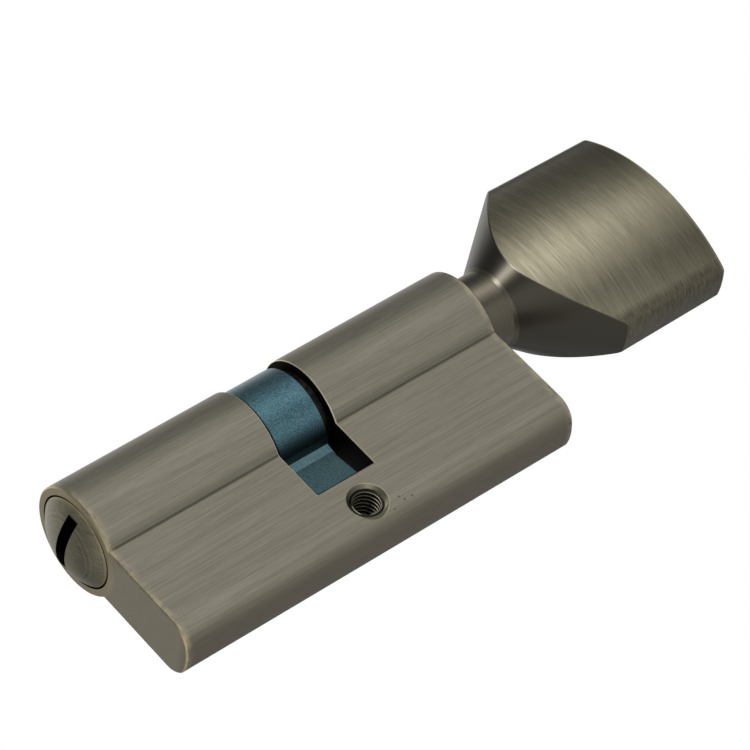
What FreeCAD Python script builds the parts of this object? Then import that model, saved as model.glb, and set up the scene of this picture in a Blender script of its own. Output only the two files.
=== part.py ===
import FreeCAD, Part
import math
import os

import Sketcher
from FreeCAD import Vector

# Euro-profile privacy cylinder: coin slot at the -X end, thumb turn at the +X end, and a cam
# between them. The row's origin is the middle of the fixing hole; +X runs along the turning
# axis, +Z from the fixing hole to that axis. Every body is drawn about its own X axis and then
# lifted by hole_drop, so the turning axis is at Z = hole_drop. Millimetres.

doc = FreeCAD.newDocument("lock_cylinder")

SIZES = [
    ("housing_length", 70.0, "housing, end to end"),
    ("end_x", "=housing_length / 2", "end face from the middle"),
    ("round_r", 8.5, "round part of the profile, 17 mm across"),
    ("flange_half", 5.0, "half of the 10 mm flange"),
    ("flange_drop", 24.7, "turning axis to the flange's lowest point"),
    ("flange_corner_r", 3.5, "round of the flange's lower corners"),
    ("flange_foot_r", 9.0, "flatter round between those corners"),
    ("hole_drop", 20.0, "turning axis to the fixing hole"),
    ("valley_r", 0.6, "round in the valley between the two"),
    ("end_chamfer", 0.2, "broken edge of the end faces"),
    ("mouth_chamfer", 0.12, "broken edge of the cam opening"),
    ("join_z", "=-sqrt(round_r ^ 2 - flange_half ^ 2)", "where round and flange meet"),
    ("foot_turn_z", "=flange_foot_r - flange_drop", "centre of the flatter round"),
    ("corner_turn_y", "=flange_half - flange_corner_r", "centre of a corner's round, across"),
    ("corner_turn_z", "=foot_turn_z - sqrt((flange_foot_r - flange_corner_r) ^ 2 - corner_turn_y ^ 2)",
     "centre of a corner's round, down"),
    ("foot_share", "=flange_foot_r / (flange_foot_r - flange_corner_r)", "where the two rounds meet"),
    ("cam_gap", 10.2, "opening for the cam, along X"),
    ("cam_gap_half", "=cam_gap / 2", "wall of that opening"),
    ("cam_gap_drop", 15.35, "turning axis to the opening's floor"),
    ("thread_r", 2.5, "M5 fixing thread, nominal"),
    ("mouth_r", 3.0, "countersink of the fixing hole"),
    ("mouth_depth", 0.45, "depth of that countersink"),
    ("run_clearance", 0.06, "radial play of a turning plug"),
    ("face_play", 0.1, "end play between faces"),
    ("plug_r", 6.0, "body of both plugs"),
    ("plug_bore_r", "=plug_r + run_clearance", "housing bore for them"),
    ("journal_r", 5.25, "thinner inner end of the knob plug"),
    ("journal_bore_r", "=journal_r + run_clearance", "housing bore for it"),
    ("step_x", 9.0, "shoulder between the two knob-side bores"),
    ("head_r", 6.95, "coin plug head"),
    ("head_recess_r", 7.25, "recess the head turns in"),
    ("head_recess", 2.2, "depth of that recess"),
    ("dome", 2.7, "rise of the coin plug's head"),
    ("dome_r", "=(head_r ^ 2 + dome ^ 2) / (2 * dome)", "radius of that dome"),
    ("coin_slot", 2.0, "width of the coin slot"),
    ("coin_slot_depth", 3.35, "depth under the top of the dome"),
    ("cutter_r", 12.0, "disc cutter that makes the slot"),
    ("cam_ring_r", 8.0, "cam ring"),
    ("cam_left", -4.9, "cam, coin-side face"),
    ("cam_right", 3.8, "cam, knob-side face"),
    ("cam_bore_r", 4.6, "bore through the cam"),
    ("clip_pocket_r", 7.15, "counterbore over the coin plug's clip"),
    ("clip_pocket", 1.6, "depth of that counterbore"),
    ("journal_pocket_r", "=journal_r + 0.3", "counterbore over the knob plug's end"),
    ("journal_pocket", 0.8, "depth of that counterbore"),
    ("lever_right", 3.3, "cam lever, knob-side face"),
    ("lever_root", 2.5, "half thickness of the lever at its root"),
    ("lever_root_drop", 7.5, "turning axis to the top of the lever's bevel"),
    ("lever_shoulder", 2.25, "half thickness under the bevel"),
    ("lever_shoulder_drop", 8.95, "turning axis to the foot of the bevel"),
    ("lever_tip", 3.3, "half thickness at the tip"),
    ("lever_tip_r", 14.9, "reach of the lever from the turning axis"),
    ("lever_tip_z", "=-sqrt(lever_tip_r ^ 2 - lever_tip ^ 2)", "corner of that tip"),
    ("cam_edge", 0.25, "broken edges of the cam"),
    ("key_half", 1.5, "half width of the plugs' driving keys"),
    ("key_reach", 5.9, "driving key, axis to end"),
    ("key_play", 0.05, "play of a key in the cam"),
    ("nose_r", 4.5, "round nose of each plug inside the cam"),
    ("nose_gap", 0.3, "half of the gap between the two noses"),
    ("clip_thick", 0.9, "retaining clip"),
    ("clip_r", 7.0, "retaining clip, outside"),
    ("clip_gap_angle", 38.0, "half of the clip's opening, degrees"),
    ("groove_depth", 0.7, "groove for a clip"),
    ("groove_play", 0.03, "clip to groove"),
    ("groove_x", "=cam_gap_half - 0.05", "outer wall of both grooves"),
    ("coin_end_x", "=cam_left + clip_pocket - face_play", "coin plug shoulder in the cam"),
    ("journal_end_x", "=cam_right - journal_pocket + face_play", "knob plug shoulder in the cam"),
    ("neck_r", 6.0, "neck of the knob"),
    ("neck_x", 33.5, "inner end of the neck, inside the bore"),
    ("flare_x", 40.3, "where the neck starts to flare"),
    ("flare_angle", 37.5, "half angle of the flare, degrees"),
    ("knob_r", 16.0, "turned outside of the knob"),
    ("knob_end_x", 73.1, "free end of the knob"),
    ("knob_corner_r", 0.7, "rounded edge of that end"),
    ("rim_x", "=flare_x + (knob_r - neck_r) / tan(flare_angle)", "end of the flare"),
    ("face_r", "=1.756 * knob_r", "curve of the knob's two grip faces"),
    ("face_neck", "=0.5125 * knob_r", "half thickness of the knob near the neck"),
    ("face_end", "=0.478 * knob_r", "half thickness at the free end"),
    ("side_r", "=knob_r / 9", "round of the narrow sides into the grip faces"),
    ("face_edge_r", 0.3, "rounded edge where a grip face meets the flare"),
    ("spigot_r", 3.5, "spigot of the knob plug"),
    ("spigot_x", 50.0, "end of that spigot"),
    ("spigot_play", 0.05, "spigot to knob, radial"),
    ("flat_y", 3.0, "flat on the spigot under the grub screw"),
    ("grub_x", 37.8, "grub screw along the neck"),
    ("grub_r", 1.5, "M3 grub screw hole"),
    ("grub_play", 0.03, "grub screw to its hole, radial"),
    ("grub_length", 2.6, "grub screw"),
    ("grub_socket", 0.87, "corner radius of its 1.5 mm socket"),
    ("grub_socket_depth", 1.2, "depth of that socket"),
]

sheet = doc.addObject("Spreadsheet::Sheet", "Sizes")
for row, (alias, value, note) in enumerate(SIZES, start=1):
    sheet.set("A%d" % row, note)
    sheet.set("B%d" % row, str(value))
    sheet.setAlias("B%d" % row, alias)
doc.recompute()
NAMES = sorted((entry[0] for entry in SIZES), key=len, reverse=True)


def linked(text):
    """Text with bare size names, turned into an expression on the sheet."""
    out, word = "", ""
    for letter in text + " ":
        if letter.isalnum() or letter == "_":
            word += letter
        else:
            out += ("Sizes." + word if word in NAMES else word) + letter
            word = ""
    return out.strip()


def number(text):
    found = sheet.evalExpression(linked(text))
    return float(getattr(found, "Value", found))


def new_body(name):
    body = doc.addObject("PartDesign::Body", name)
    body.Label = name
    body.setExpression(".Placement.Base.z", "Sizes.hole_drop")
    return body


def new_sketch(body, name, role, offset=None):
    """A sketch on one of the body's own origin planes, moved along its normal."""
    sketch = body.newObject("Sketcher::SketchObject", name)
    base = [f for f in body.Origin.OriginFeatures if f.Role == role][0]
    sketch.AttachmentSupport = [(base, "")]
    sketch.MapMode = "FlatFace"
    if offset is not None:
        sketch.setExpression(".AttachmentOffset.Base.z", linked(offset))
    return sketch


def hold(sketch, constraint, text):
    index = sketch.addConstraint(constraint)
    sketch.setExpression("Constraints[%d]" % index, linked(text))


def outline(sketch, corners):
    """A closed outline, run anticlockwise. A corner is (x, y), or (x, y, radius) where an
    arc leads to the next corner; a radius with a minus sign bends inwards. The fourth entry
    "long" marks the longer of the two arcs."""
    spots = [Vector(number(c[0]), number(c[1]), 0) for c in corners]
    ends = []
    for i, corner in enumerate(corners):
        a, b = spots[i], spots[(i + 1) % len(spots)]
        if len(corner) == 2:
            sketch.addGeometry(Part.LineSegment(a, b), False)
            ends.append((1, 2))
            continue
        radius = number(corner[2])
        chord = b - a
        away = Vector(chord.y, -chord.x, 0).normalize() * math.copysign(1, radius)
        half = math.sqrt(max(radius ** 2 - chord.Length ** 2 / 4, 0))
        rise = abs(radius) + (half if corner[3:] == ("long",) else -half)
        top = (a + b) / 2 + away * rise
        if radius > 0:
            sketch.addGeometry(Part.Arc(a, top, b), False)
            ends.append((1, 2))
        else:
            sketch.addGeometry(Part.Arc(b, top, a), False)
            ends.append((2, 1))
    for i, corner in enumerate(corners):
        after = (i + 1) % len(corners)
        sketch.addConstraint(Sketcher.Constraint("Coincident", i, ends[i][1], after, ends[after][0]))
        hold(sketch, Sketcher.Constraint("DistanceX", i, ends[i][0], spots[i].x), corner[0])
        hold(sketch, Sketcher.Constraint("DistanceY", i, ends[i][0], spots[i].y), corner[1])
        if len(corner) > 2:
            text = corner[2].lstrip("-")
            hold(sketch, Sketcher.Constraint("Radius", i, number(text)), text)


def circle(sketch, x, y, radius):
    sketch.addGeometry(Part.Circle(Vector(number(x), number(y), 0), Vector(0, 0, 1), number(radius)))
    hold(sketch, Sketcher.Constraint("DistanceX", 0, 3, number(x)), x)
    hold(sketch, Sketcher.Constraint("DistanceY", 0, 3, number(y)), y)
    hold(sketch, Sketcher.Constraint("Radius", 0, number(radius)), radius)


def turned(body, name, kind, corners):
    """Revolution or Groove about the body's X axis, from an outline in X and radius."""
    sketch = new_sketch(body, name + "_outline", "XZ_Plane")
    outline(sketch, corners)
    feature = body.newObject("PartDesign::" + kind, name)
    feature.Profile = sketch
    feature.ReferenceAxis = (sketch, ["H_Axis"])
    feature.Angle = 360
    body.Tip = feature
    return feature


def padded(body, name, sketch, length):
    pad = body.newObject("PartDesign::Pad", name)
    pad.Profile = sketch
    pad.setExpression(".Length", linked(length))
    body.Tip = pad
    return pad


def pocketed(body, name, sketch, length=None):
    """Cut evenly to both sides of the sketch: through everything, or by the given width."""
    pocket = body.newObject("PartDesign::Pocket", name)
    pocket.Profile = sketch
    pocket.Midplane = True
    if length is None:
        pocket.Type = "ThroughAll"
    else:
        pocket.setExpression(".Length", linked(length))
    body.Tip = pocket
    return pocket


def dressed(body, name, kind, base, wanted, size_name):
    """Fillet or Chamfer on the edges of base that the test picks."""
    doc.recompute()
    picked = ["Edge%d" % (i + 1) for i, e in enumerate(base.Shape.Edges) if wanted(e)]
    feature = body.newObject("PartDesign::" + kind, name)
    feature.Base = (base, picked)
    feature.setExpression(".Radius" if kind == "Fillet" else ".Size", "Sizes." + size_name)
    body.Tip = feature
    return feature


def at_x(edge, x):
    box = edge.BoundBox
    return abs(box.XMin - x) < 1e-4 and abs(box.XMax - x) < 1e-4


# Housing: one brass extrusion of the euro profile, bored from both ends, with the opening
# that the cam sweeps through and the threaded cross hole that fixes it in the lock.
housing = new_body("housing")
profile = new_sketch(housing, "housing_profile", "YZ_Plane", "-end_x")
meeting_z = "foot_turn_z - (foot_turn_z - corner_turn_z) * foot_share"
outline(profile, [
    ("flange_half", "join_z", "round_r", "long"),
    ("-flange_half", "join_z"),
    ("-flange_half", "corner_turn_z", "flange_corner_r"),
    ("-corner_turn_y * foot_share", meeting_z, "flange_foot_r"),
    ("corner_turn_y * foot_share", meeting_z, "flange_corner_r"),
    ("flange_half", "corner_turn_z"),
])
bar = padded(housing, "housing_bar", profile, "housing_length")
valley = dressed(
    housing, "housing_valley", "Fillet", bar,
    lambda e: e.BoundBox.XLength > 1 and abs(e.CenterOfMass.z - number("join_z")) < 1e-3, "valley_r")
ends = dressed(
    housing, "housing_ends", "Chamfer", valley,
    lambda e: at_x(e, number("end_x")) or at_x(e, -number("end_x")), "end_chamfer")
opening = new_sketch(housing, "cam_opening_outline", "XZ_Plane")
outline(opening, [
    ("-cam_gap_half", "-cam_gap_drop"), ("cam_gap_half", "-cam_gap_drop"),
    ("cam_gap_half", "round_r + 1"), ("-cam_gap_half", "round_r + 1"),
])
gap = pocketed(housing, "cam_opening", opening)
mouth = dressed(
    housing, "cam_opening_edge", "Chamfer", gap,
    lambda e: (at_x(e, number("cam_gap_half")) or at_x(e, -number("cam_gap_half")))
    and e.BoundBox.ZLength > 0.1, "mouth_chamfer")
turned(housing, "plug_bores", "Groove", [
    ("-end_x - 1", "0"), ("end_x + 1", "0"), ("end_x + 1", "plug_bore_r"),
    ("step_x", "plug_bore_r"), ("step_x", "journal_bore_r"), ("0", "journal_bore_r"),
    ("0", "plug_bore_r"), ("head_recess - end_x", "plug_bore_r"),
    ("head_recess - end_x", "head_recess_r"), ("-end_x - 1", "head_recess_r"),
])
cross = new_sketch(housing, "fixing_hole_outline", "YZ_Plane")
outline(cross, [
    ("-flange_half", "-hole_drop"), ("flange_half", "-hole_drop"),
    ("flange_half", "mouth_r - hole_drop"), ("flange_half - mouth_depth", "thread_r - hole_drop"),
    ("mouth_depth - flange_half", "thread_r - hole_drop"), ("-flange_half", "mouth_r - hole_drop"),
])
fixing = housing.newObject("PartDesign::Groove", "fixing_hole")
fixing.Profile = cross
cross.addGeometry(Part.LineSegment(Vector(-1, -number("hole_drop"), 0),
                                   Vector(1, -number("hole_drop"), 0)), True)
axis_line = cross.GeometryCount - 1
hold(cross, Sketcher.Constraint("DistanceY", axis_line, 1, -number("hole_drop")), "-hole_drop")
hold(cross, Sketcher.Constraint("DistanceX", axis_line, 1, -1), "-1")
cross.addConstraint(Sketcher.Constraint("Horizontal", axis_line))
hold(cross, Sketcher.Constraint("DistanceX", axis_line, 2, 1), "1")
fixing.ReferenceAxis = (cross, ["Axis0"])
fixing.Angle = 360
housing.Tip = fixing


# Coin plug: a turned brass plug with a domed head, a short slot for a coin, a groove for
# its clip and a flat key that drives the cam.
coin_plug = new_body("coin_plug")
turned(coin_plug, "coin_plug_turning", "Revolution", [
    ("-end_x - dome", "0"), ("-nose_gap", "0"), ("-nose_gap", "nose_r"),
    ("coin_end_x", "nose_r"), ("coin_end_x", "plug_r"),
    ("-groove_x + clip_thick + groove_play", "plug_r"),
    ("-groove_x + clip_thick + groove_play", "plug_r - groove_depth"),
    ("-groove_x - groove_play", "plug_r - groove_depth"), ("-groove_x - groove_play", "plug_r"),
    ("head_recess - end_x - face_play", "plug_r"), ("head_recess - end_x - face_play", "head_r"),
    ("-end_x", "head_r", "dome_r"),
])
key = new_sketch(coin_plug, "coin_key_outline", "YZ_Plane", "coin_end_x")
outline(key, [
    ("-key_reach", "-key_half"), ("key_reach", "-key_half"),
    ("key_reach", "key_half"), ("-key_reach", "key_half"),
])
padded(coin_plug, "coin_key", key, "-nose_gap - coin_end_x")
slot = new_sketch(coin_plug, "coin_slot_outline", "XY_Plane")
circle(slot, "-end_x - dome + coin_slot_depth - cutter_r", "0", "cutter_r")
pocketed(coin_plug, "coin_slot", slot, "coin_slot")


# Cam: a sintered steel ring with one lever, which works the lock's latch. Both plugs reach
# into its bore and drive it by their keys.
cam = new_body("cam")
lever = new_sketch(cam, "lever_outline", "YZ_Plane", "cam_left")
outline(lever, [
    ("-lever_tip", "lever_tip_z", "lever_tip_r"), ("lever_tip", "lever_tip_z"),
    ("lever_shoulder", "-lever_shoulder_drop"), ("lever_root", "-lever_root_drop"),
    ("lever_root", "-cam_bore_r"), ("-lever_root", "-cam_bore_r"),
    ("-lever_root", "-lever_root_drop"), ("-lever_shoulder", "-lever_shoulder_drop"),
])
blade = padded(cam, "lever", lever, "lever_right - cam_left")
tip = dressed(
    cam, "lever_edges", "Chamfer", blade,
    lambda e: e.CenterOfMass.z < -number("lever_shoulder_drop") - 0.1
    and abs(e.CenterOfMass.y) > number("lever_shoulder") - 0.2, "cam_edge")
ring = turned(cam, "cam_ring", "Revolution", [
    ("cam_left", "0"), ("cam_right", "0"), ("cam_right", "cam_ring_r - cam_edge"),
    ("cam_right - cam_edge", "cam_ring_r"), ("cam_left + cam_edge", "cam_ring_r"),
    ("cam_left", "cam_ring_r - cam_edge"),
])
turned(cam, "cam_bores", "Groove", [
    ("cam_left - 1", "0"), ("cam_right + 1", "0"), ("cam_right + 1", "journal_pocket_r"),
    ("cam_right - journal_pocket", "journal_pocket_r"), ("cam_right - journal_pocket", "cam_bore_r"),
    ("cam_left + clip_pocket", "cam_bore_r"), ("cam_left + clip_pocket", "clip_pocket_r"),
    ("cam_left - 1", "clip_pocket_r"),
])
keyway = new_sketch(cam, "keyway_outline", "YZ_Plane")
outline(keyway, [
    ("-key_reach - key_play", "-key_half - key_play"), ("key_reach + key_play", "-key_half - key_play"),
    ("key_reach + key_play", "key_half + key_play"), ("-key_reach - key_play", "key_half + key_play"),
])
pocketed(cam, "keyway", keyway)


# Knob plug: turned brass, keyed into the cam at one end, with a spigot for the knob at the
# other. Its shoulder stops it going in and its clip stops it coming out.
knob_plug = new_body("knob_plug")
turned(knob_plug, "knob_plug_turning", "Revolution", [
    ("nose_gap", "0"), ("spigot_x", "0"), ("spigot_x", "spigot_r"),
    ("neck_x - face_play", "spigot_r"), ("neck_x - face_play", "plug_r"),
    ("step_x + face_play", "plug_r"), ("step_x + face_play", "journal_r"),
    ("groove_x + groove_play", "journal_r"), ("groove_x + groove_play", "journal_r - groove_depth"),
    ("groove_x - clip_thick - groove_play", "journal_r - groove_depth"),
    ("groove_x - clip_thick - groove_play", "journal_r"), ("journal_end_x", "journal_r"),
    ("journal_end_x", "nose_r"), ("nose_gap", "nose_r"),
])
key = new_sketch(knob_plug, "knob_key_outline", "YZ_Plane", "nose_gap")
outline(key, [
    ("-key_reach", "-key_half"), ("key_reach", "-key_half"),
    ("key_reach", "key_half"), ("-key_reach", "key_half"),
])
padded(knob_plug, "knob_key", key, "journal_end_x - nose_gap")
flat = new_sketch(knob_plug, "spigot_flat_outline", "XY_Plane")
outline(flat, [
    ("grub_x - 2 * grub_r", "flat_y"), ("grub_x + 2 * grub_r", "flat_y"),
    ("grub_x + 2 * grub_r", "spigot_r + 1"), ("grub_x - 2 * grub_r", "spigot_r + 1"),
])
pocketed(knob_plug, "spigot_flat", flat)


# Retaining clips: open spring-steel rings in the grooves of the plugs, bearing on the two
# walls of the cam opening.
def clip(name, inner, start):
    body = new_body(name)
    sketch = new_sketch(body, name + "_outline", "YZ_Plane", start)
    outline(sketch, [
        ("clip_r * cos(clip_gap_angle)", "clip_r * sin(clip_gap_angle)", "clip_r", "long"),
        ("clip_r * cos(clip_gap_angle)", "-clip_r * sin(clip_gap_angle)"),
        ("(%s) * cos(clip_gap_angle)" % inner, "-(%s) * sin(clip_gap_angle)" % inner,
         "-(%s)" % inner, "long"),
        ("(%s) * cos(clip_gap_angle)" % inner, "(%s) * sin(clip_gap_angle)" % inner),
    ])
    padded(body, name + "_blank", sketch, "clip_thick")
    return body


coin_clip = clip("coin_plug_clip", "plug_r - groove_depth + groove_play", "-groove_x")
knob_clip = clip("knob_plug_clip", "journal_r - groove_depth + groove_play", "groove_x - clip_thick")


# Knob: turned from the bar to a neck, a flare and a drum, then milled to two curved grip
# faces that close in a little towards the free end.
knob = new_body("knob")
turned(knob, "knob_turning", "Revolution", [
    ("neck_x", "spigot_r + spigot_play"), ("spigot_x + face_play", "spigot_r + spigot_play"),
    ("spigot_x + face_play", "0"), ("knob_end_x", "0"),
    ("knob_end_x", "knob_r"), ("rim_x", "knob_r"), ("flare_x", "neck_r"), ("neck_x", "neck_r"),
])
sections = []
for place, offset, thick in (("near", "flare_x", "face_neck"), ("far", "knob_end_x + 1", "face_end")):
    reach = "sqrt((face_r - side_r) ^ 2 - (knob_r - side_r) ^ 2)"
    crown = "face_r - %s - %s" % (thick, reach)
    turn_y = "face_r - %s - face_r * %s / (face_r - side_r)" % (thick, reach)
    turn_z = "face_r * (knob_r - side_r) / (face_r - side_r)"
    section = new_sketch(knob, "grip_section_" + place, "YZ_Plane", offset)
    outline(section, [
        ("-knob_r - 2", "-knob_r - 1"), (crown, "-knob_r - 1"), (crown, "-knob_r", "-side_r"),
        (turn_y, "-(%s)" % turn_z, "-face_r"), (turn_y, turn_z, "-side_r"), (crown, "knob_r"),
        (crown, "knob_r + 1"), ("-knob_r - 2", "knob_r + 1"),
    ])
    sections.append(section)
grip = knob.newObject("PartDesign::SubtractiveLoft", "grip_face")
grip.Profile = sections[0]
grip.Sections = [sections[1]]
grip.Ruled = True
knob.Tip = grip
both = knob.newObject("PartDesign::Mirrored", "grip_faces")
both.Originals = [grip]
both.MirrorPlane = ([f for f in knob.Origin.OriginFeatures if f.Role == "XZ_Plane"][0], [""])
knob.Tip = both


def on_flare(edge):
    """True for an edge where a grip face runs out on the flare."""
    box, spot = edge.BoundBox, edge.valueAt((edge.FirstParameter + edge.LastParameter) / 2)
    flare = number("neck_r") + (spot.x - number("flare_x")) * number("tan(flare_angle)")
    return box.XLength > 0.5 and box.YLength > 1 and abs(math.hypot(spot.y, spot.z) - flare) < 0.01


end = dressed(
    knob, "knob_end_edge", "Fillet", both, lambda e: at_x(e, number("knob_end_x")), "knob_corner_r")
rounded = dressed(knob, "grip_edges", "Fillet", end, on_flare, "face_edge_r")
grub_hole = new_sketch(knob, "grub_hole_outline", "XZ_Plane")
circle(grub_hole, "grub_x", "0", "grub_r")
tapped = knob.newObject("PartDesign::Pocket", "grub_hole")
tapped.Profile = grub_hole
tapped.setExpression(".Length", "Sizes.neck_r + 1")
knob.Tip = tapped


# Grub screw: an M3 socket screw in the far side of the neck that clamps the knob on.
screw = doc.addObject("Part::Cylinder", "grub_blank")
screw.setExpression(".Radius", "Sizes.grub_r - Sizes.grub_play")
screw.setExpression(".Height", "Sizes.grub_length")
socket = doc.addObject("Part::Prism", "grub_socket_tool")
socket.Polygon = 6
socket.setExpression(".Circumradius", "Sizes.grub_socket")
socket.setExpression(".Height", "Sizes.grub_socket_depth + 1")
socket.setExpression(".Placement.Base.z", "Sizes.grub_length - Sizes.grub_socket_depth")
grub = doc.addObject("Part::Cut", "knob_grub_screw")
grub.Base = screw
grub.Tool = socket
grub.Label = "knob_grub_screw"
grub.Placement.Rotation = FreeCAD.Rotation(Vector(1, 0, 0), -90)
grub.setExpression(".Placement.Base.x", "Sizes.grub_x")
grub.setExpression(".Placement.Base.y", "Sizes.flat_y + Sizes.grub_play")
grub.setExpression(".Placement.Base.z", "Sizes.hole_drop")

doc.recompute()
PIECES = [housing, coin_plug, coin_clip, cam, knob_plug, knob_clip, knob, grub]
for thing in doc.Objects:
    if "Invalid" in thing.State or "Error" in thing.State:
        raise RuntimeError("%s is not sound: %s" % (thing.Name, thing.State))
os.makedirs("parts", exist_ok=True)
for piece in PIECES:
    if piece.Shape.isNull() or not piece.Shape.isValid() or len(piece.Shape.Solids) != 1:
        raise RuntimeError("%s has no single sound solid" % piece.Name)
    piece.Shape.exportStep("parts/%s.step" % piece.Label)
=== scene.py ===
import math

import bpy
from mathutils import Euler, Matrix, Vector


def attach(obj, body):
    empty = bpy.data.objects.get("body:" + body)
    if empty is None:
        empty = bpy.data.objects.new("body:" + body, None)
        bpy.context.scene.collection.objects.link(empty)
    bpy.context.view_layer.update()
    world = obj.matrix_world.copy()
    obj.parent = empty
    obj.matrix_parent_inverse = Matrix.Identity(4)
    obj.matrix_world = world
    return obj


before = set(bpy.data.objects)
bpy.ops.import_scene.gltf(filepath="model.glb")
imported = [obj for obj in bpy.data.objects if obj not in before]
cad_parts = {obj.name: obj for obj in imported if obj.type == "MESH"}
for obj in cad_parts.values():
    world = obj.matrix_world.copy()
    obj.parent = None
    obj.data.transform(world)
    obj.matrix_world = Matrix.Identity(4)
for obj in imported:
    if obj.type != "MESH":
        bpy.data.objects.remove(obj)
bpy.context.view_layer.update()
bpy.ops.object.select_all(action="DESELECT")

# Housing: a brass extrusion of the euro profile, bored from both ends and milled open for the
# cam. It is brushed along its length, plated dark nickel-bronze, and rubbed back to pale
# brass wherever an edge has been handled.
mm = 0.001
axis_z = 20.0  # the turning axis, above the middle of the fixing hole
round_r = 8.5
flange_half = 5.0
flange_foot = -24.7  # this height and the ones below it are taken from the turning axis
valley_z = -math.sqrt(round_r ** 2 - flange_half ** 2)
housing_end = 35.0
opening_half = 5.1
opening_floor = -15.35
mouth_r = 3.0  # the fixing hole is countersunk to this


def linear(code):
    """An sRGB hex colour as the linear values that a shader takes."""
    parts = [int(code[i:i + 2], 16) / 255 for i in (1, 3, 5)]
    return [p / 12.92 if p <= 0.04045 else ((p + 0.055) / 1.055) ** 2.4 for p in parts] + [1.0]


def add(tree, kind, inputs=(), **settings):
    """One node with its settings, then a value, a colour or a link for each input that is
    named or numbered. It gives the node's first live output."""
    node = tree.nodes.new(kind)
    for name, value in settings.items():
        setattr(node, name, value)
    for name, value in dict(inputs).items():
        socket = node.inputs[name] if isinstance(name, int) else [
            s for s in node.inputs if s.enabled and s.name == name][0]
        if isinstance(value, bpy.types.NodeSocket):
            tree.links.new(value, socket)
        else:
            socket.default_value = linear(value) if isinstance(value, str) else value
    return next(s for s in node.outputs if s.enabled)


def new_metal(name):
    """An empty metal, and the place on the piece in millimetres from the turning axis."""
    metal = bpy.data.materials.new(name)
    metal.use_nodes = True
    tree = metal.node_tree
    tree.nodes["Principled BSDF"].inputs["Metallic"].default_value = 1.0
    place = add(tree, "ShaderNodeMapping", {
        "Vector": add(tree, "ShaderNodeTexCoord").node.outputs["Object"],
        "Location": (0, 0, -axis_z), "Scale": (1 / mm, 1 / mm, 1 / mm)})
    return metal, tree, place


def marks(tree, place, size, rough=0.55):
    """Tool marks: noise whose marks have that size in millimetres along x, y and z."""
    drawn = add(tree, "ShaderNodeMapping", {"Vector": place, "Scale": [1 / each for each in size]})
    return add(tree, "ShaderNodeTexNoise", {
        "Vector": drawn, "Scale": 1.0, "Detail": 3.0, "Roughness": rough})


def dress(pieces, metal, colour, gloss, relief, depth, across=None):
    """Colour, roughness, relief with its depth in millimetres and, for a brushed metal, the
    direction across its brush marks, because they spread a highlight that way. The pieces
    then take the metal."""
    tree = metal.node_tree
    shader = tree.nodes["Principled BSDF"]
    bumps = add(tree, "ShaderNodeBump", {"Height": relief, "Distance": depth * mm, "Strength": 1.0})
    for name, socket in (("Base Color", colour), ("Roughness", gloss), ("Normal", bumps)):
        tree.links.new(socket, shader.inputs[name])
    if across is not None:
        shader.inputs["Anisotropic"].default_value = 0.7
        tree.links.new(across, shader.inputs["Tangent"])
    for piece in pieces:
        piece.data.materials.clear()
        piece.data.materials.append(metal)


# Nickel-bronze plate, brushed lengthwise: long streaks in two warm greys, and bands a millimetre
# wide where the brush bit deeper. It gives a soft sheen that runs down the round as one long
# light. Real brush marks are a few hundredths of a millimetre wide, too fine to show, so they
# are drawn about a tenth of a millimetre wide.
groove, ridge, deep_band = "#706d61", "#848073", "#68655a"
metal, tree, place = new_metal("nickel_bronze_plate_long_brushed")
x, y, z = add(tree, "ShaderNodeSeparateXYZ", {0: place}).node.outputs
x_off = add(tree, "ShaderNodeMath", {0: x}, operation="ABSOLUTE")
y_off = add(tree, "ShaderNodeMath", {0: y}, operation="ABSOLUTE")
streaks = marks(tree, place, (12.0, 0.12, 0.12))
hairs = marks(tree, place, (3.0, 0.08, 0.08))
bands = marks(tree, place, (25.0, 0.9, 0.9))
lines = add(tree, "ShaderNodeMix", {"Factor": 0.4, "A": streaks, "B": hairs})
plate = add(tree, "ShaderNodeMix", {
    "Factor": add(tree, "ShaderNodeMapRange", {"Value": lines, "From Min": 0.4, "From Max": 0.6}),
    "A": groove, "B": ridge}, data_type="RGBA")
bitten = add(tree, "ShaderNodeMapRange", {
    "Value": bands, "From Min": 0.42, "From Max": 0.72, "To Max": 0.35})
plate = add(tree, "ShaderNodeMix", {"Factor": bitten, "A": plate, "B": deep_band}, data_type="RGBA")

# Painted shade: the plate turns a dark brown towards the flange's foot and in the valley. The
# valley is rounded, so its crease is a little outside the line where round and flange would
# meet. Up the round from there the painted shade thins out over two millimetres.
foot_painted_shade, valley_painted_shade = "#4d453a", "#2e2b23"
under = add(tree, "ShaderNodeMapRange", {
    "Value": z, "From Min": flange_foot + 2.3, "From Max": flange_foot + 0.1, "To Max": 0.6},
    interpolation_type="SMOOTHSTEP")
plate = add(tree, "ShaderNodeMix", {"Factor": under, "A": plate, "B": foot_painted_shade}, data_type="RGBA")
to_valley = add(tree, "ShaderNodeVectorMath", {
    0: add(tree, "ShaderNodeCombineXYZ", {1: y_off, 2: z}), 1: (0, flange_half + 0.2, valley_z)},
    operation="DISTANCE")
crease = add(tree, "ShaderNodeMapRange", {
    "Value": to_valley, "From Min": 0.32, "From Max": 0.14, "To Max": 0.7})
beside = add(tree, "ShaderNodeMapRange", {
    "Value": to_valley, "From Min": 2.2, "From Max": 0.3, "To Max": 0.3},
    interpolation_type="SMOOTHSTEP")
on_round = add(tree, "ShaderNodeMath", {0: z, 1: valley_z}, operation="GREATER_THAN")
beside = add(tree, "ShaderNodeMath", {0: beside, 1: on_round}, operation="MULTIPLY")
valley = add(tree, "ShaderNodeMath", {0: crease, 1: beside}, operation="MAXIMUM")
plate = add(tree, "ShaderNodeMix", {"Factor": valley, "A": plate, "B": valley_painted_shade}, data_type="RGBA")
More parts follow.
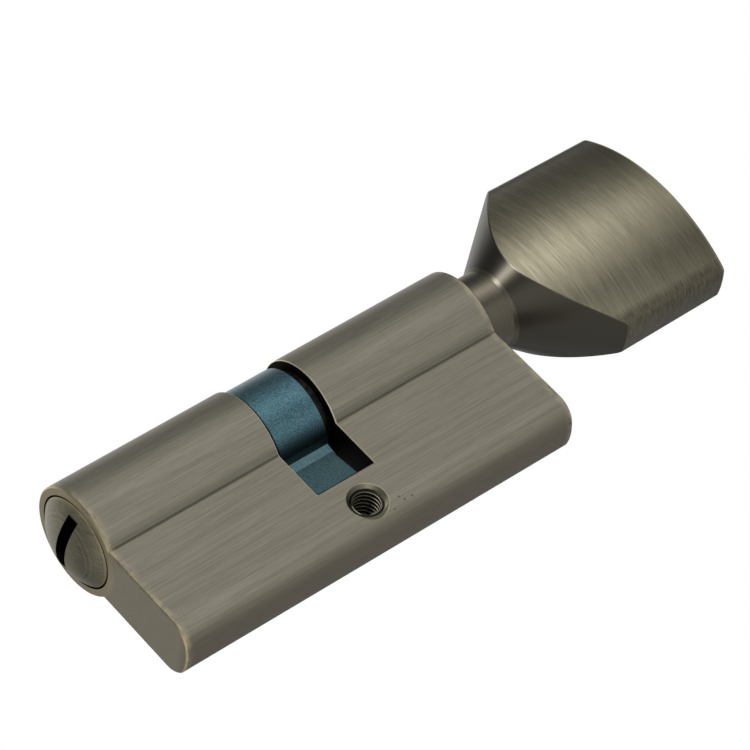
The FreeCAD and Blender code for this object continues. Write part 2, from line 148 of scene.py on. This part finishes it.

# Rubbed edges show pale brass: patches on the chamfers and on the last millimetre at each end.
# A thin line on the knob's side of the fixing hole's rim is a painted highlight in that pale colour.
pale_wear_and_highlight = "#b8aa88"
rubbing = marks(tree, place, (1.1, 1.7, 1.7))
facing = add(tree, "ShaderNodeSeparateXYZ", {0: add(tree, "ShaderNodeTexCoord").node.outputs["Normal"]})
facing = add(tree, "ShaderNodeMath", {0: facing}, operation="ABSOLUTE")
sloped = add(tree, "ShaderNodeMapRange", {"Value": facing, "From Min": 0.15, "From Max": 0.3})
off_end_face = add(tree, "ShaderNodeMapRange", {"Value": facing, "From Min": 0.99, "From Max": 0.9})
from_hole = add(tree, "ShaderNodeVectorMath", {
    0: add(tree, "ShaderNodeCombineXYZ", {0: x, 2: z}), 1: (0, 0, -axis_z)}, operation="DISTANCE")
off_hole = add(tree, "ShaderNodeMath", {0: from_hole, 1: mouth_r + 0.06}, operation="GREATER_THAN")
patchy = add(tree, "ShaderNodeMapRange", {
    "Value": rubbing, "From Min": 0.35, "From Max": 0.6, "To Min": 0.6})
chamfer = add(tree, "ShaderNodeMath", {0: sloped, 1: off_end_face}, operation="MULTIPLY")
chamfer = add(tree, "ShaderNodeMath", {0: chamfer, 1: off_hole}, operation="MULTIPLY")
chamfer = add(tree, "ShaderNodeMath", {0: chamfer, 1: patchy}, operation="MULTIPLY")
near_end = add(tree, "ShaderNodeMapRange", {
    "Value": x_off, "From Min": housing_end - 1.3, "From Max": housing_end - 0.3, "To Max": 0.45})
near_end = add(tree, "ShaderNodeMath", {
    0: near_end, 1: add(tree, "ShaderNodeMapRange", {
        "Value": rubbing, "From Min": 0.38, "From Max": 0.62})}, operation="MULTIPLY")
near_end = add(tree, "ShaderNodeMath", {0: near_end, 1: off_end_face}, operation="MULTIPLY")
# Painted highlight: a thin pale line on the knob's side of the fixing hole's rim.
rim = add(tree, "ShaderNodeMath", {0: from_hole, 1: mouth_r + 0.04, 2: 0.07}, operation="COMPARE")
rim = add(tree, "ShaderNodeMath", {
    0: rim, 1: add(tree, "ShaderNodeMapRange", {
        "Value": x, "From Min": 0.0, "From Max": 2.0, "To Max": 0.55})}, operation="MULTIPLY")
worn_and_highlight = add(tree, "ShaderNodeMath", {0: chamfer, 1: near_end}, operation="MAXIMUM")
worn_and_highlight = add(tree, "ShaderNodeMath", {0: worn_and_highlight, 1: rim}, operation="MAXIMUM")
plate = add(tree, "ShaderNodeMix", {"Factor": worn_and_highlight, "A": plate, "B": pale_wear_and_highlight}, data_type="RGBA")

# The countersink is painted darker and made dull. The end faces are turned, not brushed, so
# they are plain, and browner round the plug than on the flange.
countersink_dark, turned_end = "#4b493c", "#958a6f"
in_mouth = add(tree, "ShaderNodeMapRange", {
    "Value": from_hole, "From Min": mouth_r + 0.03, "From Max": mouth_r - 0.03, "To Max": 0.75})
plate = add(tree, "ShaderNodeMix", {"Factor": in_mouth, "A": plate, "B": countersink_dark}, data_type="RGBA")
on_end_face = add(tree, "ShaderNodeMath", {0: 1.0, 1: off_end_face}, operation="SUBTRACT")
from_axis = add(tree, "ShaderNodeVectorMath", {0: add(tree, "ShaderNodeCombineXYZ", {1: y, 2: z})},
                operation="LENGTH")
round_plug = add(tree, "ShaderNodeMapRange", {
    "Value": from_axis, "From Min": round_r + 0.3, "From Max": round_r - 0.3,
    "To Min": 0.3, "To Max": 0.75})
on_end_face = add(tree, "ShaderNodeMath", {0: on_end_face, 1: round_plug}, operation="MULTIPLY")
plate = add(tree, "ShaderNodeMix", {
    "Factor": on_end_face, "A": plate, "B": turned_end}, data_type="RGBA")

# Four pits in the casting beside the fixing hole, each about a third of a millimetre wide.
pit_places = ((4.15, -4.95, -21.87), (4.7, -4.69, -22.55), (6.0, -4.66, -22.65), (2.6, -4.46, -23.0))
pits = 0.0
for pit_place in pit_places:
    to_pit = add(tree, "ShaderNodeVectorMath", {0: place, 1: pit_place}, operation="DISTANCE")
    pits = add(tree, "ShaderNodeMath", {0: pits, 1: add(tree, "ShaderNodeMapRange", {
        "Value": to_pit, "From Min": 0.22, "From Max": 0.08, "To Max": 0.7})}, operation="MAXIMUM")
plate = add(tree, "ShaderNodeMix", {"Factor": pits, "A": plate, "B": "#1c1914"}, data_type="RGBA")

# The opening for the cam was milled after the brushing. Its walls are painted nearly black, as
# shade, and dull, and its edges are bare metal whose thin bright line is a painted highlight.
bare_edge_and_highlight, opening_painted_shade = "#cfc5a8", "#060606"
above_floor = add(tree, "ShaderNodeMath", {0: z, 1: opening_floor - 0.05}, operation="GREATER_THAN")
inside = add(tree, "ShaderNodeMath", {0: x_off, 1: opening_half + 0.02}, operation="LESS_THAN")
inside = add(tree, "ShaderNodeMath", {0: inside, 1: above_floor}, operation="MULTIPLY")
brink = add(tree, "ShaderNodeMath", {0: x_off, 1: opening_half + 0.09, 2: 0.07}, operation="COMPARE")
brink = add(tree, "ShaderNodeMath", {0: brink, 1: above_floor}, operation="MULTIPLY")
brink = add(tree, "ShaderNodeMath", {0: brink, 1: 0.8}, operation="MULTIPLY")
plate = add(tree, "ShaderNodeMix", {"Factor": brink, "A": plate, "B": bare_edge_and_highlight}, data_type="RGBA")
plate = add(tree, "ShaderNodeMix", {"Factor": inside, "A": plate, "B": opening_painted_shade}, data_type="RGBA")
dull = add(tree, "ShaderNodeMath", {0: in_mouth, 1: inside}, operation="MAXIMUM")
gloss = add(tree, "ShaderNodeMapRange", {
    "Value": lines, "From Min": 0.3, "From Max": 0.7, "To Min": 0.34, "To Max": 0.46})
gloss = add(tree, "ShaderNodeMath", {0: dull, 1: 0.2, 2: gloss}, operation="MULTIPLY_ADD")

# The brush ran along x, so a highlight spreads round the housing. On the end faces that
# direction would be nothing, so a small part is added to it.
across = add(tree, "ShaderNodeVectorMath", {
    0: add(tree, "ShaderNodeNewGeometry").node.outputs["Normal"], 1: (1, 0, 0)},
    operation="CROSS_PRODUCT")
across = add(tree, "ShaderNodeVectorMath", {0: across, 1: (0, 0.02, 0.01)})
dress([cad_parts["housing"]], metal, plate, gloss, lines, 0.005, across)

# Fixing thread: the M5 thread tapped through the flange, as one ridge that winds round inside
# the plain hole. It starts and stops just inside the two countersinks.
pitch, turns = 0.8, 12
root_r, crest_r = 2.52, 2.1
root_width, crest_share = 0.75 * pitch, 0.2
thread_half = 4.5
bpy.ops.mesh.primitive_plane_add(size=mm, location=(0, 0, 0))
thread = bpy.context.object
thread.name = "fixing_hole_thread"
bpy.ops.object.mode_set(mode="EDIT")
bpy.ops.transform.resize(value=(root_r - crest_r, root_width, 1))
bpy.ops.transform.translate(value=((root_r + crest_r) / 2 * mm, -turns * pitch / 2 * mm, 0))
bpy.ops.object.mode_set(mode="OBJECT")
for corner in thread.data.vertices:
    corner.select = corner.co.x < (root_r + crest_r) / 2 * mm
for side in list(thread.data.edges) + list(thread.data.polygons):
    side.select = all(thread.data.vertices[i].select for i in side.vertices)
bpy.ops.object.mode_set(mode="EDIT")
bpy.ops.transform.resize(value=(1, crest_share, 1))
bpy.ops.object.mode_set(mode="OBJECT")
winding = thread.modifiers.new("winding", "SCREW")
winding.axis = "Y"
winding.screw_offset = pitch * mm
winding.iterations = turns
winding.steps = winding.render_steps = 48
bpy.ops.object.modifier_apply(modifier="winding")
bpy.ops.object.mode_set(mode="EDIT")
bpy.ops.mesh.select_all(action="SELECT")
bpy.ops.mesh.remove_doubles(threshold=1e-7)
bpy.ops.mesh.bisect(plane_co=(0, -thread_half * mm, 0), plane_no=(0, 1, 0),
                    clear_inner=True, use_fill=True)
bpy.ops.mesh.select_all(action="SELECT")
bpy.ops.mesh.bisect(plane_co=(0, thread_half * mm, 0), plane_no=(0, 1, 0),
                    clear_outer=True, use_fill=True)
bpy.ops.mesh.select_all(action="SELECT")
bpy.ops.mesh.normals_make_consistent(inside=False)
bpy.ops.object.mode_set(mode="OBJECT")
bpy.ops.object.shade_smooth_by_angle(angle=math.radians(35))

# Tapped brass: only the crests are grey, as thin curves with dull gloss, and all below them is
# painted nearly black, as shade. The cut start at each end is partly painted with that shade.
crest_grey, thread_painted_shade = "#6a665a", "#171510"
metal, tree, place = new_metal("tapped_brass_painted_shade")
x, y, z = add(tree, "ShaderNodeSeparateXYZ", {0: place}).node.outputs
reach = add(tree, "ShaderNodeVectorMath", {
    0: add(tree, "ShaderNodeCombineXYZ", {0: x, 2: z}), 1: (0, 0, -axis_z)}, operation="DISTANCE")
below_crest = add(tree, "ShaderNodeMapRange", {
    "Value": reach, "From Min": crest_r + 0.005, "From Max": crest_r + 0.09})
y_off = add(tree, "ShaderNodeMath", {0: y}, operation="ABSOLUTE")
first_turn = add(tree, "ShaderNodeMapRange", {
    "Value": y_off, "From Min": thread_half - 0.2, "From Max": thread_half - 0.05, "To Max": 0.4})
thread_shade = add(tree, "ShaderNodeMath", {0: below_crest, 1: first_turn}, operation="MAXIMUM")
brass = add(tree, "ShaderNodeMix", {
    "Factor": thread_shade, "A": crest_grey, "B": thread_painted_shade}, data_type="RGBA")
smears = marks(tree, place, (0.7, 0.7, 0.7))
gloss = add(tree, "ShaderNodeMapRange", {
    "Value": smears, "From Min": 0.3, "From Max": 0.7, "To Min": 0.5, "To Max": 0.62})
dress([thread], metal, brass, gloss, smears, 0.004)
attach(thread, "housing")

# Coin plug: turned from brass bar, with a domed head and a short slot cut by a disc. It is
# plated as the housing is, and the lathe's rings still show under the plate.
dome = 2.7
head_r = 6.95
dome_r = (head_r ** 2 + dome ** 2) / (2 * dome)
coin_slot_half = 1.0
head_back = -33.0  # the slot doesn't reach this far in

# Nickel-bronze plate over turned rings, crossed by fine scuffs: faint circles in a grey that turns
# brown in smears, a pale rim, and a slot painted black as shade. The lathe's feed is nearer a
# tenth of a millimetre, and its rings are drawn a third of a millimetre apart so that they show.
ring_dark, ring_light, brown, pale_rim = "#656253", "#807c6c", "#857b64", "#b0a07a"
metal, tree, place = new_metal("nickel_bronze_plate_turned")
x, y, z = add(tree, "ShaderNodeSeparateXYZ", {0: place}).node.outputs
from_axis = add(tree, "ShaderNodeVectorMath", {0: add(tree, "ShaderNodeCombineXYZ", {1: y, 2: z})},
                operation="LENGTH")
rings = add(tree, "ShaderNodeTexNoise", {"W": from_axis, "Scale": 3.0, "Detail": 4.0},
            noise_dimensions="1D")
scuffs = marks(tree, place, (1.0, 0.16, 2.0))
rings = add(tree, "ShaderNodeMix", {"Factor": 0.6, "A": rings, "B": scuffs})
smears = marks(tree, place, (3.0, 2.0, 2.0))
plate = add(tree, "ShaderNodeMix", {
    "Factor": add(tree, "ShaderNodeMapRange", {"Value": rings, "From Min": 0.38, "From Max": 0.62}),
    "A": ring_dark, "B": ring_light}, data_type="RGBA")
plate = add(tree, "ShaderNodeMix", {
    "Factor": add(tree, "ShaderNodeMapRange", {
        "Value": smears, "From Min": 0.45, "From Max": 0.75, "To Max": 0.5}),
    "A": plate, "B": brown}, data_type="RGBA")
rim = add(tree, "ShaderNodeMapRange", {
    "Value": from_axis, "From Min": head_r - 0.35, "From Max": head_r - 0.05, "To Max": 0.5})
plate = add(tree, "ShaderNodeMix", {"Factor": rim, "A": plate, "B": pale_rim}, data_type="RGBA")
from_middle = add(tree, "ShaderNodeVectorMath", {0: place, 1: (dome_r - housing_end - dome, 0, 0)},
                  operation="DISTANCE")
under_dome = add(tree, "ShaderNodeMath", {0: from_middle, 1: dome_r - 0.04}, operation="LESS_THAN")
in_slot = add(tree, "ShaderNodeMath", {0: z, 1: 0.0, 2: coin_slot_half + 0.03}, operation="COMPARE")
in_head = add(tree, "ShaderNodeMath", {0: x, 1: head_back}, operation="LESS_THAN")
in_slot = add(tree, "ShaderNodeMath", {0: in_slot, 1: under_dome}, operation="MULTIPLY")
in_slot = add(tree, "ShaderNodeMath", {0: in_slot, 1: in_head}, operation="MULTIPLY")
# Painted shade: the inside of the slot is painted black.
plate = add(tree, "ShaderNodeMix", {"Factor": in_slot, "A": plate, "B": "#0a0908"}, data_type="RGBA")
gloss = add(tree, "ShaderNodeMapRange", {
    "Value": rings, "From Min": 0.3, "From Max": 0.7, "To Min": 0.38, "To Max": 0.48})
dress([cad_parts["coin_plug"]], metal, plate, gloss, rings, 0.006)

# Cam: a ring and its lever, pressed and sintered from steel powder, then finished blue-green.
# The ring turns in the round of the housing and the lever in the slot below it.
ring_edge = -7.1  # the ring's underside, where the lever starts
lever_tip = -14.4

# Sintered steel, finished blue-green: the pressed powder leaves a sandy grain that glitters, about
# a seventh of a millimetre across, with darker specks twice as wide. Painted shade makes the ring
# nearly black where it runs in to the lever; the lever is a little greener, and its tip is bluer.
coat_dark, coat_light, speck = "#2c434a", "#587a84", "#1f3238"
root_painted_shade, lever_green, tip_blue = "#0b1011", "#3f4f4c", "#3f7391"
metal, tree, place = new_metal("sintered_steel_blue_green")
z = add(tree, "ShaderNodeSeparateXYZ", {0: place}).node.outputs["Z"]
grain = marks(tree, place, (0.14, 0.14, 0.14))
specks = marks(tree, place, (0.28, 0.28, 0.28), 0.7)
coat = add(tree, "ShaderNodeMix", {
    "Factor": add(tree, "ShaderNodeMapRange", {"Value": grain, "From Min": 0.35, "From Max": 0.65}),
    "A": coat_dark, "B": coat_light}, data_type="RGBA")
coat = add(tree, "ShaderNodeMix", {
    "Factor": add(tree, "ShaderNodeMapRange", {
        "Value": specks, "From Min": 0.52, "From Max": 0.7, "To Max": 0.6}),
    "A": coat, "B": speck}, data_type="RGBA")
root = add(tree, "ShaderNodeMapRange", {
    "Value": z, "From Min": ring_edge + 2.5, "From Max": ring_edge + 0.3, "To Max": 0.9},
    interpolation_type="SMOOTHSTEP")
on_ring = add(tree, "ShaderNodeMapRange", {
    "Value": z, "From Min": ring_edge - 0.5, "From Max": ring_edge})
root = add(tree, "ShaderNodeMath", {0: root, 1: on_ring}, operation="MULTIPLY")
coat = add(tree, "ShaderNodeMix", {"Factor": root, "A": coat, "B": root_painted_shade}, data_type="RGBA")
on_lever = add(tree, "ShaderNodeMapRange", {
    "Value": z, "From Min": ring_edge, "From Max": ring_edge - 0.5, "To Max": 0.4})
coat = add(tree, "ShaderNodeMix", {"Factor": on_lever, "A": coat, "B": lever_green}, data_type="RGBA")
on_tip = add(tree, "ShaderNodeMapRange", {
    "Value": z, "From Min": lever_tip, "From Max": lever_tip - 0.4, "To Max": 0.7})
coat = add(tree, "ShaderNodeMix", {"Factor": on_tip, "A": coat, "B": tip_blue}, data_type="RGBA")
gloss = add(tree, "ShaderNodeMapRange", {
    "Value": grain, "From Min": 0.3, "From Max": 0.7, "To Min": 0.28, "To Max": 0.42})
dress([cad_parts["cam"]], metal, coat, gloss, grain, 0.02)

# Retaining clips: open rings of spring steel, snapped into the plugs' grooves so that they bear
# on the walls of the cam opening. Blackened, they show a dim and faintly brown scale.
metal, tree, place = new_metal("blackened_spring_steel")
scale = marks(tree, place, (0.8, 0.8, 0.8))
steel = add(tree, "ShaderNodeMix", {
    "Factor": add(tree, "ShaderNodeMapRange", {"Value": scale, "From Min": 0.35, "From Max": 0.7}),
    "A": "#1a1815", "B": "#2b2723"}, data_type="RGBA")
gloss = add(tree, "ShaderNodeMapRange", {
    "Value": scale, "From Min": 0.3, "From Max": 0.7, "To Min": 0.3, "To Max": 0.45})
dress([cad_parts["coin_plug_clip"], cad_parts["knob_plug_clip"]],
      metal, steel, gloss, scale, 0.004)

# Knob plug: turned brass bar, left bare because it is hidden in the bore and in the knob. It is
# bright yellow, with feed lines about a sixth of a millimetre apart.
metal, tree, place = new_metal("turned_brass")
x = add(tree, "ShaderNodeSeparateXYZ", {0: place}).node.outputs["X"]
feed = add(tree, "ShaderNodeTexNoise", {"W": x, "Scale": 6.0, "Detail": 3.0}, noise_dimensions="1D")
brass = add(tree, "ShaderNodeMix", {
    "Factor": add(tree, "ShaderNodeMapRange", {"Value": feed, "From Min": 0.35, "From Max": 0.65}),
    "A": "#a88f55", "B": "#c9b078"}, data_type="RGBA")
gloss = add(tree, "ShaderNodeMapRange", {
    "Value": feed, "From Min": 0.3, "From Max": 0.7, "To Min": 0.22, "To Max": 0.34})
dress([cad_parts["knob_plug"]], metal, brass, gloss, feed, 0.006)

# Knob: turned to a neck, a flare and a drum, then milled to two curved grip faces that are
# brushed across. It is plated as the housing is, and clamped on its plug by a grub screw.
neck_r = 6.0
flare_x = 40.3
flare_slope = math.tan(math.radians(37.5))
drum_x = 51.0
knob_end = 73.1

# Nickel-bronze plate, brushed crosswise: streaks run over the faces and round onto the narrow
# sides, so each face shows one broad light. They are drawn a tenth of a millimetre wide, as on
# the housing, because real ones are too fine to show. Painted shade darkens the faces to the free end.
groove, ridge, deep_band, end_painted_shade = "#6c6858", "#87826f", "#5d594b", "#3d3a31"
metal, tree, place = new_metal("nickel_bronze_plate_cross_brushed")
x, y, z = add(tree, "ShaderNodeSeparateXYZ", {0: place}).node.outputs
streaks = marks(tree, place, (0.11, 3.5, 6.5))
hairs = marks(tree, place, (0.07, 1.7, 1.7))
bands = marks(tree, place, (0.8, 12.0, 25.0))
lines = add(tree, "ShaderNodeMix", {"Factor": 0.35, "A": streaks, "B": hairs})
faces = add(tree, "ShaderNodeMix", {
    "Factor": add(tree, "ShaderNodeMapRange", {"Value": lines, "From Min": 0.36, "From Max": 0.62}),
    "A": groove, "B": ridge}, data_type="RGBA")
bitten = add(tree, "ShaderNodeMapRange", {
    "Value": bands, "From Min": 0.42, "From Max": 0.72, "To Max": 0.3})
faces = add(tree, "ShaderNodeMix", {"Factor": bitten, "A": faces, "B": deep_band}, data_type="RGBA")
far = add(tree, "ShaderNodeMapRange", {
    "Value": x, "From Min": drum_x, "From Max": knob_end, "To Max": 0.55})
faces = add(tree, "ShaderNodeMix", {"Factor": far, "A": faces, "B": end_painted_shade}, data_type="RGBA")

# The turned parts are smoother and darker than the faces, with feed lines a quarter of a
# millimetre apart, and the flare is painted darker still, as shade. What lies past the neck and
# inside the cone of the flare was milled.
neck_dark, neck_light, flare_painted_shade = "#555147", "#5b574d", "#44413a"
from_axis = add(tree, "ShaderNodeVectorMath", {0: add(tree, "ShaderNodeCombineXYZ", {1: y, 2: z})},
                operation="LENGTH")
cone = add(tree, "ShaderNodeMath", {0: x, 1: flare_slope, 2: neck_r - flare_x * flare_slope},
           operation="MULTIPLY_ADD")
short_of = add(tree, "ShaderNodeMath", {0: cone, 1: from_axis}, operation="SUBTRACT")
milled = add(tree, "ShaderNodeMapRange", {"Value": short_of, "From Min": 0.03, "From Max": 0.15})
past_neck = add(tree, "ShaderNodeMath", {0: x, 1: flare_x + 0.5}, operation="GREATER_THAN")
milled = add(tree, "ShaderNodeMath", {0: milled, 1: past_neck}, operation="MULTIPLY")
feed = add(tree, "ShaderNodeTexNoise", {
    "W": add(tree, "ShaderNodeMath", {0: x, 1: from_axis}, operation="ADD"),
    "Scale": 4.0, "Detail": 3.0}, noise_dimensions="1D")
turned = add(tree, "ShaderNodeMix", {
    "Factor": add(tree, "ShaderNodeMapRange", {"Value": feed, "From Min": 0.3, "From Max": 0.7}),
    "A": neck_dark, "B": neck_light}, data_type="RGBA")
turned = add(tree, "ShaderNodeMix", {
    "Factor": past_neck, "A": turned, "B": flare_painted_shade}, data_type="RGBA")
plate = add(tree, "ShaderNodeMix", {"Factor": milled, "A": turned, "B": faces}, data_type="RGBA")

# The narrow sides are painted darker, as shade, with streaks that stand out more. The free end is
# rubbed.
side_from, side_to = 14.4, 15.2  # distance from the turning axis
side_shade_dark, side_shade_light, rubbed_end = "#34312a", "#605b4b", "#b5ab90"
on_side = add(tree, "ShaderNodeMapRange", {
    "Value": from_axis, "From Min": side_from, "From Max": side_to, "To Max": 0.8})
on_side = add(tree, "ShaderNodeMath", {0: on_side, 1: milled}, operation="MULTIPLY")
side = add(tree, "ShaderNodeMix", {
    "Factor": add(tree, "ShaderNodeMapRange", {"Value": hairs, "From Min": 0.42, "From Max": 0.6}),
    "A": side_shade_dark, "B": side_shade_light}, data_type="RGBA")
plate = add(tree, "ShaderNodeMix", {"Factor": on_side, "A": plate, "B": side}, data_type="RGBA")
rim = add(tree, "ShaderNodeMapRange", {
    "Value": x, "From Min": knob_end - 0.75, "From Max": knob_end - 0.5, "To Max": 0.45})
plate = add(tree, "ShaderNodeMix", {"Factor": rim, "A": plate, "B": rubbed_end}, data_type="RGBA")
relief = add(tree, "ShaderNodeMix", {"Factor": milled, "A": 0.5, "B": lines})
gloss = add(tree, "ShaderNodeMix", {"Factor": milled, "A": 0.4, "B": add(tree, "ShaderNodeMapRange", {
    "Value": lines, "From Min": 0.3, "From Max": 0.7, "To Min": 0.34, "To Max": 0.44})})
across = add(tree, "ShaderNodeCombineXYZ", {0: 1.0, 2: 0.01})  # the brush ran round the knob
dress([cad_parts["knob"]], metal, plate, gloss, relief, 0.007, across)

# Grub screw: an M3 socket screw of hardened steel, blackened in oil, so that it is a dark and
# even grey-brown with hardly any pattern.
metal, tree, place = new_metal("blackened_hardened_steel")
scale = marks(tree, place, (0.5, 0.5, 0.5))
steel = add(tree, "ShaderNodeMix", {"Factor": scale, "A": "#26231f", "B": "#3a3631"}, data_type="RGBA")
gloss = add(tree, "ShaderNodeMapRange", {
    "Value": scale, "From Min": 0.3, "From Max": 0.7, "To Min": 0.3, "To Max": 0.4})
dress([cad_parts["knob_grub_screw"]], metal, steel, gloss, scale, 0.004)

# Studio: a pale paper floor well below the cylinder, in a room that is white to the eye.
bpy.ops.object.select_all(action="DESELECT")
bpy.ops.mesh.primitive_plane_add(size=6, location=(0, 0, -0.3))
floor = bpy.context.object
floor.name = "floor"
paper = bpy.data.materials.new("pale_paper")
paper.use_nodes = True
paper.node_tree.nodes["Principled BSDF"].inputs["Base Color"].default_value = linear("#e8e8e8")
paper.node_tree.nodes["Principled BSDF"].inputs["Roughness"].default_value = 0.9
floor.data.materials.append(paper)

# The room lights the cylinder from a white strip, narrow along x, on the side that the camera
# sees, and from a white table on the other side and above. Elsewhere the room is dim, so that
# the round and the knob get their dark sides.
strip_way = Vector((0.46, -0.885, 0.077))
strip_level, table_level, dim_level = 1.7, 1.1, 0.09
room = bpy.data.worlds.new("white_room")
bpy.context.scene.world = room
room.use_nodes = True
tree = room.node_tree
tree.nodes.clear()
way = add(tree, "ShaderNodeTexCoord").node.outputs["Generated"]
way_x, way_y, way_z = add(tree, "ShaderNodeSeparateXYZ", {0: way}).node.outputs
strip = add(tree, "ShaderNodeVectorMath", {0: way, 1: strip_way}, operation="DOT_PRODUCT")
strip = add(tree, "ShaderNodeMath", {0: strip, 1: 0.0}, operation="MAXIMUM")
strip = add(tree, "ShaderNodeMath", {0: strip, 1: 5.0}, operation="POWER")
aside = add(tree, "ShaderNodeMath", {0: way_x, 1: strip_way[0]}, operation="SUBTRACT")
aside = add(tree, "ShaderNodeMath", {0: aside}, operation="ABSOLUTE")
strip = add(tree, "ShaderNodeMath", {
    0: strip, 1: add(tree, "ShaderNodeMapRange", {"Value": aside, "From Min": 0.5, "From Max": 0.1})},
    operation="MULTIPLY")
table = add(tree, "ShaderNodeMath", {
    0: add(tree, "ShaderNodeMapRange", {"Value": way_y, "From Min": -0.1, "From Max": 0.45}),
    1: add(tree, "ShaderNodeMapRange", {"Value": way_z, "From Min": 0.0, "From Max": 0.75})},
    operation="MULTIPLY")
level = add(tree, "ShaderNodeMath", {0: strip, 1: strip_level, 2: dim_level}, operation="MULTIPLY_ADD")
level = add(tree, "ShaderNodeMath", {0: table, 1: table_level, 2: level}, operation="MULTIPLY_ADD")

# The camera sees the room as plain white, and a tenth of that white is in what metal reflects.
rays = add(tree, "ShaderNodeLightPath").node.outputs
white = add(tree, "ShaderNodeMath", {0: rays["Is Glossy Ray"], 1: 0.1, 2: rays["Is Camera Ray"]},
            operation="MULTIPLY_ADD")
white = add(tree, "ShaderNodeMath", {0: white, 1: rays["Is Transmission Ray"]},
            operation="ADD", use_clamp=True)
strength = add(tree, "ShaderNodeMix", {"Factor": white, "A": level, "B": 1.0})
surface = add(tree, "ShaderNodeBackground", {"Color": (1, 1, 1, 1), "Strength": strength})
tree.links.new(surface, tree.nodes.new("ShaderNodeOutputWorld").inputs["Surface"])

# The lamp is narrow along the cylinder and stands towards its coin end, so the cross-brushed
# knob catches it and the housing hardly does.
knob_middle = Vector((0.055, 0, axis_z * mm))
lamp_way = Vector((-0.3, -0.92, 0.335)).normalized()
lamp_distance = 0.9
lamp = bpy.data.objects.new("key", bpy.data.lights.new("key", "AREA"))
lamp.data.shape = "ELLIPSE"
lamp.data.size = 0.13
lamp.data.size_y = 0.24
lamp.data.energy = 13.5
lamp.location = knob_middle + lamp_way * lamp_distance
lamp.rotation_euler = lamp_way.to_track_quat("Z", "Y").to_euler()
bpy.context.scene.collection.objects.link(lamp)

# Camera: a long lens at the photograph's angle, below the cylinder and on its coin side, where
# it sees one flank and the domed head.
camera = bpy.data.objects.new("camera", bpy.data.cameras.new("camera"))
camera.location = (-0.26603, -0.45179, -0.23898)
camera.rotation_euler = Euler((2.170698, 0.688444, -0.152086), "XYZ")
camera.data.sensor_width = 36.0
camera.data.lens = 198.77
camera.data.clip_start = 0.01
camera.data.clip_end = 20.0
bpy.context.scene.collection.objects.link(camera)
bpy.context.scene.camera = camera
bpy.context.scene.view_settings.view_transform = "Standard"

bpy.context.view_layer.update()
